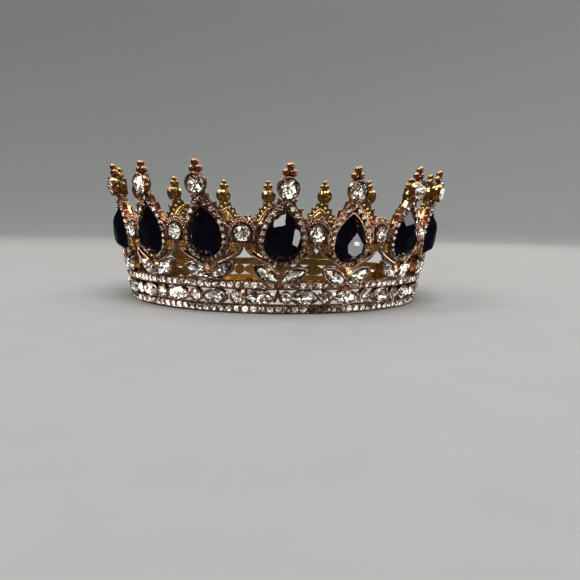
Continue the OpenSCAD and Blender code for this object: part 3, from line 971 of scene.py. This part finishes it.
def dress_rail(name, count, height, bare=()):
    """Fills one rail with its stones, collars and grains. The stones in bare have no foil."""
    level = height / math.cos(WALL_LEAN)
    seats = [on_wall(360 * i / count) @ spot(0, level, ROW_GIRDLE) for i in range(count)]
    bright = [seat @ hand_set(ROW_TILT) for i, seat in enumerate(seats) if i not in bare]
    set_stones(name + "_gems", row_form, bright)
    if bare:
        dark = [seats[i] @ hand_set(ROW_TILT) for i in bare]
        set_stones(name + "_bare_gems", row_form, dark, dull_foil)
    collars = [seat @ spot(0, 0, -ROW_GIRDLE) for seat in seats]
    add_trim(name + "_collars", row_collar, collars, collar_gold, smooth=False)
    grains = [on_wall(360 * (i + 0.5) / count) @ spot(0, level + side * ROW_GRAIN_OFFSET, ROW_GRAIN_LEVEL)
              for i in range(count) for side in SIDES]
    add_trim(name + "_grains", row_grain, grains)


dress_rail("lower_row", LOWER_ROW_COUNT, LOWER_ROW_HEIGHT, LOST_FOIL)
dress_rail("upper_row", UPPER_ROW_COUNT, UPPER_ROW_HEIGHT)

# %% [markdown]
# ## The halo round each pear
# A ring of small stones follows the pear's outline. They are larger and further apart near
# the tip and smaller below. Distances are measured along the outline from the tip,
# and each step is a little shorter than the one before, so that the last lands at the bottom.
# Equal angles from the pear's middle would be simpler, but would leave wide gaps near the tip.

# %% Places round a halo
HALO_RADIUS = PEAR_RADIUS + 1
HALO_RISE = PEAR_RISE + 3
HALO_STEPS = 12
HALO_FIRST_STEP = 3.0
HALO_TIP_GEM = 0.84
HALO_LOW_GEM = 0.64
HALO_GIRDLE = 0.75
AT_THE_BOTTOM = 0.01


def halo_distances():
    length = half_pear_length(HALO_RADIUS, HALO_RISE)
    last_step = 2 * length / HALO_STEPS - HALO_FIRST_STEP
    shrink = (last_step - HALO_FIRST_STEP) / (HALO_STEPS - 1)
    steps = [HALO_FIRST_STEP + shrink * j for j in range(HALO_STEPS)]
    return [sum(steps[:j]) for j in range(HALO_STEPS + 1)]


def round_the_pear(radius, rise, distances, level):
    """Places on both sides of a pear: each is x, y, z, its outward turn and its share of the way down."""
    length = half_pear_length(radius, rise)
    places = []
    for distance in distances:
        x, y, outward = down_the_pear(radius, rise, distance)
        middle = distance <= 0 or distance >= length - AT_THE_BOTTOM
        for side in (1,) if middle else SIDES:
            turn = math.degrees(outward) if side > 0 else 180 - math.degrees(outward)
            places.append((side * x, PEAR_LEVEL + y, level, turn, distance / length))
    return places


def halo_gem_size(share):
    return HALO_TIP_GEM + (HALO_LOW_GEM - HALO_TIP_GEM) * share


halo_stops = halo_distances()
halo_seats = round_the_pear(HALO_RADIUS, HALO_RISE, halo_stops, HALO_GIRDLE)
print("stones in a halo:", len(halo_seats))

# %% Halo stones and collars
HALO_CUT = (0.5, 0.55, 0.07, 0.8)
HALO_TILT = 7

halo_form = cut_form(ring(radius=1, count=12), 1, *HALO_CUT)
halo_collar = collar_form(inner=0.97, wall=0.2, back=-0.9, front=0.06, count=12)
collar_places = [on_point(k) @ spot(x, y, z, turn, halo_gem_size(share))
                 for k in range(POINT_COUNT) for x, y, z, turn, share in halo_seats]
gem_places = [place @ hand_set(HALO_TILT) for place in collar_places]
set_stones("halo_gems", halo_form, gem_places)
add_trim("halo_collars", halo_collar, collar_places, collar_gold, smooth=False)

# %% [markdown]
# Between two halo stones stand three grains, one inside, one outside and one between them,
# and a string of finer grains runs along the halo's outer edge. On the toothed upper edge
# each tooth ends in a pointed bead, which gives the crown its prickly outline.

# %% Halo grains
HALO_GRAIN_RADIUS = 0.38
halfway = [(a + b) / 2 for a, b in zip(halo_stops, halo_stops[1:])]

# Each row of grains: how much wider and taller than the ring of stones, its level and its stops.
GRAIN_ROWS = [
    (-0.6, -1.6, 0.6, halfway[:-1]),
    (0.5, 0.6, 0.6, halfway),
    (-0.05, -0.5, 0.8, halfway),
]
grain_seats = [seat for wider, taller, level, stops in GRAIN_ROWS
               for seat in round_the_pear(HALO_RADIUS + wider, HALO_RISE + taller, stops, level)]
add_trim("halo_grains", grain_form(HALO_GRAIN_RADIUS), on_every_point(grain_seats))

# %% Edge grains and tooth beads
HALO_EDGE_RADIUS = PEAR_RADIUS + 1.75
HALO_EDGE_RISE = PEAR_RISE + 4
EDGE_GRAIN_RADIUS = 0.36
EDGE_GRAIN_PITCH = 1.0
EDGE_GRAIN_LEVEL = 0.12
FIRST_EDGE_GRAIN = 1.6
EDGE_SPARE = 2
TOOTH_BEAD_RADIUS = 0.58
TOOTH_BEAD_STRETCH = 1.3
TOOTH_BEAD_LEVEL = -0.3
TOOTH_STALK = 0.4
LOW_STEPS = 8
TEETH = 22
HALO_WIDTH = 2.1
HALO_PEAK = 4.6
TOOTH = 0.9
TIP_TOOTH = 1.6 * TOOTH
PEAK_GAP = 1

edge_length = half_pear_length(HALO_EDGE_RADIUS, HALO_EDGE_RISE)
edge_count = int((edge_length - EDGE_SPARE) / EDGE_GRAIN_PITCH)
edge_stops = [FIRST_EDGE_GRAIN + EDGE_GRAIN_PITCH * i for i in range(edge_count)]
edge_seats = round_the_pear(HALO_EDGE_RADIUS, HALO_EDGE_RISE, edge_stops, EDGE_GRAIN_LEVEL)
add_trim("halo_edge_grains", grain_form(EDGE_GRAIN_RADIUS), on_every_point(edge_seats))

tooth_line = pear(PEAR_RADIUS + HALO_WIDTH + TOOTH + TOOTH_STALK,
                  PEAR_RISE + HALO_PEAK + TIP_TOOTH + TOOTH_STALK, LOW_STEPS, TEETH // 2)
tooth_seats = [(x, PEAR_LEVEL + y, TOOTH_BEAD_LEVEL)
               for x, y in tooth_line[1::2] if y > 0 and abs(x) > PEAK_GAP]
tooth_bead = grain_form(TOOTH_BEAD_RADIUS, height=TOOTH_BEAD_STRETCH)
add_trim("halo_tooth_beads", tooth_bead, on_every_point(tooth_seats), cast_gold)

# %% [markdown]
# ## The units between the points
# Over each round stone stands an arch with beads on its teeth and two strings of grains.
# A small stone hangs under it, and from there two scrolls curl away, each with
# a bright wire round a disc full of grains. The disc's grains are spread like the seeds
# of a sunflower, which fills a circle evenly without rows.

# %% Arch beads, grains and drop stones
ARCH_BEAD_LINE = 5.79
ARCH_STEPS = 24
ARCH_BEAD_RADIUS = 0.58
ARCH_BEAD_STRETCH = 1.15
ARCH_BEAD_LEVEL = -0.5
ARCH_GRAIN_RADIUS = 0.42
DROP_LEVEL = 26.56
DROP_GIRDLE = 1.15
DROP_TILT = 6


def arc_seats(radius, first, last, count, z):
    angles = [math.radians(first + (last - first) * i / (count - 1)) for i in range(count)]
    return [(radius * math.cos(a), BETWEEN_LEVEL + radius * math.sin(a), z) for a in angles]


arch_tips = [(x, BETWEEN_LEVEL + y, ARCH_BEAD_LEVEL)
             for x, y in ring(ARCH_BEAD_LINE, ARCH_STEPS)[1::2] if y > 0]
arch_bead = grain_form(ARCH_BEAD_RADIUS, detail=3, height=ARCH_BEAD_STRETCH)
add_trim("arch_beads", arch_bead, on_every_between(arch_tips), cast_gold)
inner_string = arc_seats(radius=4.1, first=-40, last=220, count=19, z=0.1)
outer_string = arc_seats(radius=4.95, first=-12, last=192, count=18, z=-0.15)
arch_grain_places = on_every_between(inner_string + outer_string)
add_trim("arch_grains", grain_form(ARCH_GRAIN_RADIUS), arch_grain_places)

drop_places = on_every_between([(0, DROP_LEVEL, DROP_GIRDLE)])
set_stones("drop_gems", halo_form, [place @ hand_set(DROP_TILT) for place in drop_places])
add_trim("drop_collars", halo_collar, drop_places, smooth=False)

# %% Scroll wires
UNDER_WIRE = [(-0.75, 27.4), (-0.2, 22.5), (-4, 21.5), (-10.7, 18.3)]
SIDE_WIRE = [(-4, 27.4), (-3.7, 29.8), (-4.6, 32), (-6.6, 33.6)]
WIRE_STEPS = 14
WIRE_RADIUS = 0.36
WIRE_LEVEL = 0.7


def bezier(points, share):
    a, b, c, d = (Vector(point) for point in points)
    left = 1 - share
    return a * left ** 3 + b * 3 * left ** 2 * share + c * 3 * left * share ** 2 + d * share ** 3


def mirrored(form):
    """The same form seen in a mirror, for the right hand half of a pair."""
    points, faces, slots = form
    return [(-x, y, z) for x, y, z in points], [face[::-1] for face in faces], slots


every_between = on_every_between([(0, 0, 0)])
for name, bends in (("under", UNDER_WIRE), ("side", SIDE_WIRE)):
    path = [(*bezier(bends, i / WIRE_STEPS), WIRE_LEVEL) for i in range(WIRE_STEPS + 1)]
    wire = wire_form(path, WIRE_RADIUS)
    add_trim(f"scroll_{name}_wires_left", wire, every_between, wire_gold)
    add_trim(f"scroll_{name}_wires_right", mirrored(wire), every_between, wire_gold)

# %% Scroll grains
BOSS = (2.9, 24.7)
BOSS_RADIUS = 2
BOSS_GRAINS = 19
BOSS_GRAIN_RADIUS = 0.38
BOSS_GRAIN_LEVEL = 0.67
GOLDEN_TURN = math.pi * (3 - math.sqrt(5))


def sunflower(radius, count):
    spread = [(radius * math.sqrt((i + 0.5) / count), i * GOLDEN_TURN) for i in range(count)]
    return [(r * math.cos(a), r * math.sin(a)) for r, a in spread]


boss_seats = [(side * (BOSS[0] + x), BOSS[1] + y, BOSS_GRAIN_LEVEL)
              for side in SIDES for x, y in sunflower(BOSS_RADIUS, BOSS_GRAINS)]
add_trim("scroll_grains", grain_form(BOSS_GRAIN_RADIUS), on_every_between(boss_seats), flower_gold)

# %% [markdown]
# ## The backs of the settings
# Through the gaps of the front wall, and above it, one sees the inner face of the far wall.
# There the cups of the pears stand out from the plates as raised rims with a darker hollow,
# and each small stone of a halo shows as a round bump behind its seat. A bump map would do
# from far away, but these backs are seen against the light, where only real relief shows.

# %% Back rims and back caps
PEAR_CUP_BACK = -2.9
BETWEEN_CUP_BACK = -2.1
BACK_WIRE = 0.34
PEAR_BACK_MARGIN = 0.3
PEAR_TIP_MARGIN = 0.5
RIM_LINE_STEPS = (16, 10)
CAP_LINE_STEPS = (8, 6)
BETWEEN_BACK_MARGIN = 0.2
FOLD_REACH = 0.45
HIGH_FOLD = 0.35
LOW_FOLD = 0.175
CAP_MIDDLE = 0.1


def back_cap_form(outline, level):
    """A low cap with folded facets, seen from behind. Every fourth fold is a lower one."""
    count = len(outline)
    points = [(x, y, level) for x, y in outline]
    for i, (x, y) in enumerate(outline):
        points.append((x * FOLD_REACH, y * FOLD_REACH, level - (HIGH_FOLD if i % 4 else LOW_FOLD)))
    points += [(0, 0, level - CAP_MIDDLE), (0, 0, level)]
    faces = []
    for i in range(count):
        j = (i + 1) % count
        faces += [(i, j, count + j, count + i), (count + i, count + j, 2 * count), (j, i, 2 * count + 1)]
    return closed_form(points, faces)


pear_rim_line = pear(PEAR_RADIUS + PEAR_BACK_MARGIN, PEAR_RISE + PEAR_TIP_MARGIN, *RIM_LINE_STEPS)
pear_cap_line = pear(PEAR_RADIUS - PEAR_BACK_MARGIN, PEAR_RISE - PEAR_TIP_MARGIN, *CAP_LINE_STEPS)
round_rim_line = ring(BETWEEN_RADIUS + BETWEEN_BACK_MARGIN, count=24)
round_cap_line = ring(BETWEEN_RADIUS - BETWEEN_BACK_MARGIN, count=12)
pear_seats = on_every_point([(0, PEAR_LEVEL, 0)])
between_seats = on_every_between([(0, BETWEEN_LEVEL, 0)])
for name, seats, level, rim_line, cap_line in (
        ("pear", pear_seats, PEAR_CUP_BACK, pear_rim_line, pear_cap_line),
        ("between", between_seats, BETWEEN_CUP_BACK, round_rim_line, round_cap_line)):
    add_trim(name + "_back_rims", rim_form(rim_line, BACK_WIRE, level), seats)
    add_trim(name + "_back_caps", back_cap_form(cap_line, level), seats, collar_gold, smooth=False)

# %% Bumps behind the small stones
PLATE_BACK = -1.5
HALO_BUMP_RADIUS = 0.75
ARCH_BUMP_RADIUS = 0.6
BUMP_HEIGHT = 0.7

halo_bump = grain_form(HALO_BUMP_RADIUS, height=BUMP_HEIGHT)
arch_bump = grain_form(ARCH_BUMP_RADIUS, height=BUMP_HEIGHT)
halo_bump_seats = round_the_pear(HALO_RADIUS + 0.1, HALO_RISE, halo_stops, PLATE_BACK)
arch_bump_seats = arc_seats(radius=4.6, first=-10, last=190, count=9, z=PLATE_BACK)
add_trim("halo_bumps", halo_bump, on_every_point(halo_bump_seats))
add_trim("arch_bumps", arch_bump, on_every_between(arch_bump_seats))

# %% [markdown]
# ## Rims and claws
# The top stones sit in smooth cups, and a turned rim rounds the cup's sharp edge.
# A bevel modifier on the frame would do the same, but the frame's mesh stays as it is.
# Leaves and navettes are held by a small claw at each end, and the rounds by four.

# %% Top rims
TOP_CUP_RADIUS = 4.04
TOP_LIP = 2.25
RIM_THICKNESS = 0.24

rim_circle = [(TOP_CUP_RADIUS - RIM_THICKNESS + x, y) for x, y in ring(RIM_THICKNESS, count=10)]
top_rim_places = on_every_point([(0, TOP_LEVEL, TOP_LIP)])
add_trim("top_rims", turned_form(rim_circle, count=40), top_rim_places, cast_gold)

# %% Claws
END_CLAW_RADIUS = 0.42
ROUND_CLAW_RADIUS = 0.32
CLAW_LEVEL = 0.45
BAND_CLAW_LEVEL = 0.4
LEAF_TIPS = (-LEAF_LENGTH / 2, LEAF_LENGTH / 2 + 0.2)
BAND_CLAW_REACH = BAND_LENGTH / 2 + 0.25
ROUND_CLAW_REACH = 1.65


def four_claws(k):
    """Four claws round a band round, closer together where the stone was squeezed."""
    reach = ROUND_CLAW_REACH * round_size(k)
    return [on_round(k) @ spot(x, BAND_LEVEL + y, CLAW_LEVEL)
            for y in (reach, -reach) for x in (reach, -reach)]


leaf_claws = [on_point(k) @ at_leaf(side) @ spot(x, 0, CLAW_LEVEL)
              for k in range(POINT_COUNT) for side in SIDES for x in LEAF_TIPS]
band_claws = [on_band(k) @ spot(side * BAND_CLAW_REACH, BAND_LEVEL, BAND_CLAW_LEVEL)
              for k in range(BAND_COUNT) for side in SIDES]
round_claws = [place for k in range(BAND_COUNT) for place in four_claws(k)]
add_trim("end_claws", grain_form(END_CLAW_RADIUS), leaf_claws + band_claws)
add_trim("round_claws", grain_form(ROUND_CLAW_RADIUS), round_claws)

# %% [markdown]
# ## The studio
# The crown stands on a plain pale floor that curves up into a grey wall all round,
# like the inside of a wide bowl, so there is a calm background from every side.
# Everything on the crown is a mirror of some kind, so it shows no light of its own,
# only the room. A pale floor and wall would fill every facet with flat grey. So they are hidden
# from reflections, and the crown mirrors a dimmer room that is painted on the world instead.
# A ray that has passed through a stone does reach the paper, and there the paper glows in bright and dark
# patches: painted light that nothing else sees. It gives the clear stones their hard contrast, as a full
# room would.

# %% Paper
FAR_FROM, FAR_TO = 0.12, 0.6
NEAR_PAPER = (0.25, 0.243, 0.237, 1)
FAR_PAPER = (0.28, 0.285, 0.277, 1)
PAPER_GRAIN = 60
CROWN_MIDDLE = (0, 0, 0.05)
GLOW_PATCH_SCALE = 4.5
GLOW_PATCH_EDGE = (0.5, 0.55)
# Painted light: the paper's glow in bright and dark patches, which only rays through a stone see.
DARK_GLOW = (0.04, 0.035, 0.03, 1)
BRIGHT_GLOW = (2.3, 2.2, 2.03, 1)
BLACK = (0, 0, 0, 1)


def paper_colour(tree, position):
    """A pale grey that turns a little cooler further out, with a faint grain."""
    far = remap(tree, vectors(tree, "LENGTH", position), FAR_FROM, FAR_TO)
    grain = remap(tree, noise(tree, PAPER_GRAIN), 0.2, 0.8, to_low=0.97)
    return blend_colours(tree, 1.0, blend_colours(tree, far, NEAR_PAPER, FAR_PAPER), grain, "MULTIPLY")


def glow_patch_colour(tree, position):
    """Bright and dark patches of painted glow, laid out by their direction from the crown."""
    direction = vectors(tree, "NORMALIZE", vectors(tree, "SUBTRACT", position, CROWN_MIDDLE))
    patches = remap(tree, noise(tree, GLOW_PATCH_SCALE, 1, place=direction), *GLOW_PATCH_EDGE)
    return blend_colours(tree, patches, DARK_GLOW, BRIGHT_GLOW)


def studio_finish():
    material, tree, shader = principled("studio_paper")
    set_inputs(shader, Roughness=0.9, Specular_IOR_Level=0.1, Emission_Strength=1)
    position = add_node(tree, "ShaderNodeNewGeometry").outputs["Position"]
    feed(tree, paper_colour(tree, position), shader.inputs["Base Color"])
    # Painted light: the paper glows in these patches, but only for rays that have passed through a stone.
    from_stone = add_node(tree, "ShaderNodeLightPath").outputs["Is Transmission Ray"]
    glow = blend_colours(tree, from_stone, BLACK, glow_patch_colour(tree, position))
    feed(tree, glow, shader.inputs["Emission Color"])
    return material


# %% Floor and wall
FLOOR_MIDDLE = 0.25
FLOOR_RADIUS = 0.75
SWEEP_RADIUS = 0.45
WALL_HEIGHT = 1.5
SWEEP_STEPS = 16
SWEEP_SIDES = 96


def studio_sweep():
    angles = [math.pi / 2 * i / SWEEP_STEPS for i in range(SWEEP_STEPS + 1)]
    curve = [(FLOOR_RADIUS + SWEEP_RADIUS * math.sin(a), SWEEP_RADIUS * (1 - math.cos(a)))
             for a in angles]
    profile = [(FLOOR_MIDDLE, 0)] + curve + [(FLOOR_RADIUS + SWEEP_RADIUS, WALL_HEIGHT)]
    steps = [math.tau * i / SWEEP_SIDES for i in range(SWEEP_SIDES)]
    points = [(0, 0, 0)] + [(r * math.cos(a), r * math.sin(a), z) for a in steps for r, z in profile]
    size = len(profile)
    faces = []
    for i in range(SWEEP_SIDES):
        here, there = 1 + i * size, 1 + (i + 1) % SWEEP_SIDES * size
        faces.append((0, here, there))
        faces += [(here + j, here + j + 1, there + j + 1, there + j) for j in range(size - 1)]
    studio = mesh_object("studio", points, faces, [studio_finish()], smooth=True)
    studio.visible_glossy = False
    return studio


studio = studio_sweep()
print("studio floor and wall:", len(studio.data.polygons), "faces")

# %% [markdown]
# ## Windows and room
# The black pears tell where the windows were: each large facet is a flat mirror,
# and only a few of the front ones are bright. Reflecting the camera's view in those facets
# gives the direction of each window and lamp. The soft boxes above and behind light the rails
# and the far side, as one plain dome could not without flattening the metal.
# One broad light that neither metal nor glass shows is there for the floor and the wall.

# %% Soft boxes
AIM = Vector((0, -0.03, 0.027))
WHITE = (1, 1, 1)
DAYLIGHT = (0.97, 0.98, 1.0)
LAMPLIGHT = (1.0, 0.99, 0.98)
WARM = (1.0, 0.97, 0.92)
WALL_FOOT = Vector((0.6, 1.1, 0.3))
WATTS_FOR_RADIANCE = 4

# Each box: name, azimuth and elevation in degrees, distance, width, height, radiance and colour.
SOFT_BOXES = [
    ("window_left", -66.5, 44, 0.8, 0.2, 0.24, 13, DAYLIGHT),
    ("window_right", 87, -2, 0.7, 0.14, 0.14, 8.5, DAYLIGHT),
    ("low_right", 54.5, -20, 0.35, 0.032, 0.034, 7.5, LAMPLIGHT),
    ("low_right_core", 53.8, -19, 0.34, 0.004, 0.003, 18, LAMPLIGHT),
    ("high_right", 60, 40, 0.8, 0.14, 0.14, 5, WHITE),
    ("front_high", 15, 34, 0.8, 0.09, 0.07, 10, WHITE),
    ("overhead", 5, 80, 0.8, 0.4, 0.3, 3, WHITE),
    ("over_left", -105, 60, 0.8, 0.22, 0.22, 6, WHITE),
    ("over_right", 108, 58, 0.8, 0.22, 0.22, 5, WHITE),
    ("back_left", -140, 35, 0.8, 0.22, 0.22, 6, WARM),
    ("back_right", 150, 25, 0.8, 0.2, 0.25, 6, WARM),
]
PAPER_LIGHT = ("paper_light", 30, 68, 1.0, 0.7, 0.7, 6, WHITE)


def soft_box(name, azimuth, elevation, distance, width, height, radiance, colour, target=AIM):
    """A rectangle of light. Azimuth 0 is the camera's side of the crown and 90 is its right."""
    data = bpy.data.lights.new(name, "AREA")
    data.shape = "RECTANGLE"
    data.size, data.size_y = width, height
    data.energy = radiance * width * height * WATTS_FOR_RADIANCE
    data.color = colour
    light = bpy.data.objects.new(name, data)
    a, e = math.radians(azimuth), math.radians(elevation)
    away = Vector((math.sin(a) * math.cos(e), -math.cos(a) * math.cos(e), math.sin(e)))
    light.location = AIM + away * distance
    light.rotation_mode = "QUATERNION"
    light.rotation_quaternion = (light.location - target).to_track_quat("Z", "Y")
    light.visible_camera = False
    bpy.context.scene.collection.objects.link(light)
    return light


for box in SOFT_BOXES:
    soft_box(*box)
paper_light = soft_box(*PAPER_LIGHT, target=WALL_FOOT)
paper_light.visible_glossy = False
paper_light.visible_transmission = False

# %% [markdown]
# Everything that is not a soft box is the room: dim at the height of the crown, a little paler
# below, bright at the ceiling and grey high up at the far end. A photographed surrounding
# would bring its own pictures into the gold, so three soft steps on the world make the room.

# %% The room on the world
ROOM_COLOUR = (0.95, 0.98, 1.0, 1)
FLOOR_SHADE = 0.09
ROOM_SHADE = 0.07
CEILING_SHADE = 1.5
REAR_SHADE = 0.5
FLOOR_EDGE = (-0.25, 0.05)
CEILING_EDGE = (0.83, 0.93)
REAR_SIDE_EDGE = (0.0, 0.5)
REAR_LOW_EDGE = (0.55, 0.75)


def room_world():
    """Each edge gives the two heights, or depths, of a direction between which the shade changes."""
    world = bpy.data.worlds.new("room")
    world.use_nodes = True
    tree = world.node_tree
    background = tree.nodes["Background"]
    place = add_node(tree, "ShaderNodeTexCoord")
    split = add_node(tree, "ShaderNodeSeparateXYZ")
    feed(tree, place.outputs["Generated"], split.inputs[0])
    up, back = split.outputs["Z"], split.outputs["Y"]
    low = remap(tree, up, *FLOOR_EDGE, FLOOR_SHADE, ROOM_SHADE)
    ceiling = remap(tree, up, *CEILING_EDGE, 0.0, CEILING_SHADE)
    behind = remap(tree, back, *REAR_SIDE_EDGE, 0.0, REAR_SHADE)
    rear = arithmetic(tree, "MULTIPLY", remap(tree, up, *REAR_LOW_EDGE), behind)
    shade = arithmetic(tree, "ADD", low, arithmetic(tree, "ADD", ceiling, rear))
    feed(tree, shade, background.inputs["Strength"])
    background.inputs["Color"].default_value = ROOM_COLOUR
    return world


bpy.context.scene.world = room_world()
bpy.context.scene.view_settings.view_transform = "Standard"
print("room:", len(bpy.context.scene.world.node_tree.nodes), "nodes")
